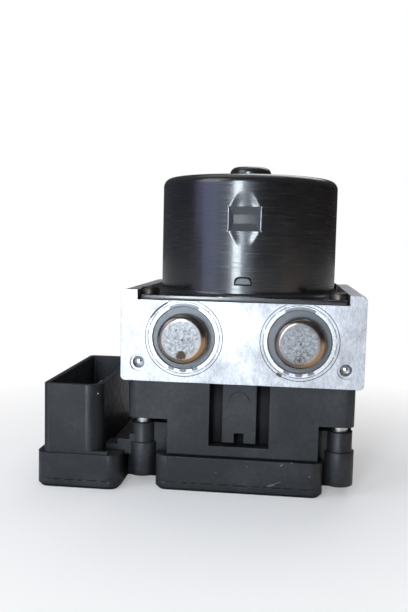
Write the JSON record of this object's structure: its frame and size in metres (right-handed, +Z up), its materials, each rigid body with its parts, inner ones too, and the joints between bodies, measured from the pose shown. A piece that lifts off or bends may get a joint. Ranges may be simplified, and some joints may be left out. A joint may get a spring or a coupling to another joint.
{
  "type": "abs brake module",
  "caption": "Anti-lock brake module: black pump motor on an aluminium valve block, with a plastic electronic control unit and an upright multi-pin connector shroud below.",
  "frame": {"origin": "on the underside of the ECU cover, on the motor's axis", "axes": "+Z up along the motor's axis, -Y out of the face with the two accumulators, +X to the right of that face, away from the connector"},
  "size_m": [0.1347, 0.0879, 0.1379],
  "materials": {
    "block_aluminium": "milled and lightly brushed",
    "motor_black": "gloss black coating",
    "cap_steel": "drawn steel, slightly tarnished",
    "zinc_steel": "zinc plated",
    "bright_steel": "ground",
    "spring_steel": "drawn wire",
    "valve_steel": "turned",
    "coil_yoke_steel": "pressed sheet",
    "core_laminations": "stacked laminations",
    "ferrite": "pressed and fired",
    "winding_copper": "enamelled copper",
    "tinned_contacts": "tin plated",
    "brush_carbon": "pressed carbon",
    "piston_aluminium": "turned",
    "housing_plastic": "satin moulded, glass filled",
    "insert_plastic": "moulded",
    "board_laminate": "solder mask",
    "seal_rubber": "matt"
  },
  "bodies": {
    "module": {"valve_block": "block_aluminium", "ball_plugs": "bright_steel", "motor_can": "motor_black", "motor_screws": "zinc_steel", "motor_seal": "seal_rubber", "front_bearing": "bright_steel", "rear_bearing": "bright_steel", "brush_plate": "insert_plastic", "motor_terminals": "tinned_contacts", "ecu_housing": "housing_plastic", "ecu_cover": "housing_plastic", "ecu_gasket": "seal_rubber", "ecu_sleeves": "zinc_steel", "ecu_screws": "zinc_steel", "circuit_board": "board_laminate", "connector_pins": "tinned_contacts", "pin_carrier": "insert_plastic", "solenoid_coils_front": "coil_yoke_steel", "solenoid_coils_rear": "coil_yoke_steel", "magnet_left": "ferrite", "brush_left": "brush_carbon", "brush_spring_left": "spring_steel", "pump_spring_left": "spring_steel", "pump_plug_left": "zinc_steel", "accumulator_cap_left": "cap_steel", "accumulator_spring_left": "spring_steel", "magnet_right": "ferrite", "brush_right": "brush_carbon", "brush_spring_right": "spring_steel", "pump_spring_right": "spring_steel", "pump_plug_right": "zinc_steel", "accumulator_cap_right": "cap_steel", "accumulator_spring_right": "spring_steel", "valve_1": "valve_steel", "valve_2": "valve_steel", "valve_3": "valve_steel", "valve_4": "valve_steel", "valve_5": "valve_steel", "valve_6": "valve_steel", "valve_7": "valve_steel", "valve_8": "valve_steel"},
    "rotor": {"motor_shaft": "bright_steel", "eccentric_bearing": "bright_steel", "armature_core": "core_laminations", "armature_winding": "winding_copper", "commutator": "winding_copper"},
    "pump_plunger_left": {"pump_piston_left": "bright_steel"},
    "pump_plunger_right": {"pump_piston_right": "bright_steel"},
    "storage_piston_left": {"accumulator_piston_left": "piston_aluminium", "accumulator_seal_left": "seal_rubber"},
    "storage_piston_right": {"accumulator_piston_right": "piston_aluminium", "accumulator_seal_right": "seal_rubber"}
  },
  "joints": [
    {"name": "rotor_spin", "type": "hinge", "parent": "module", "child": "rotor", "pos_m": [0, 0, 0.1], "axis": [0, 0, 1], "continuous": true},
    {"name": "pump_stroke_left", "type": "slide", "parent": "module", "child": "pump_plunger_left", "axis": [-1, 0, 0], "range_m": [0, 0.002], "stiffness_N_per_m": 2000, "deforming": ["pump_spring_left"]},
    {"name": "pump_stroke_right", "type": "slide", "parent": "module", "child": "pump_plunger_right", "axis": [1, 0, 0], "range_m": [0, 0.002], "stiffness_N_per_m": 2000, "deforming": ["pump_spring_right"]},
    {"name": "storage_stroke_left", "type": "slide", "parent": "module", "child": "storage_piston_left", "axis": [0, -1, 0], "range_m": [0, 0.007], "stiffness_N_per_m": 5000, "deforming": ["accumulator_spring_left"]},
    {"name": "storage_stroke_right", "type": "slide", "parent": "module", "child": "storage_piston_right", "axis": [0, -1, 0], "range_m": [0, 0.007], "stiffness_N_per_m": 5000, "deforming": ["accumulator_spring_right"]}
  ]
}
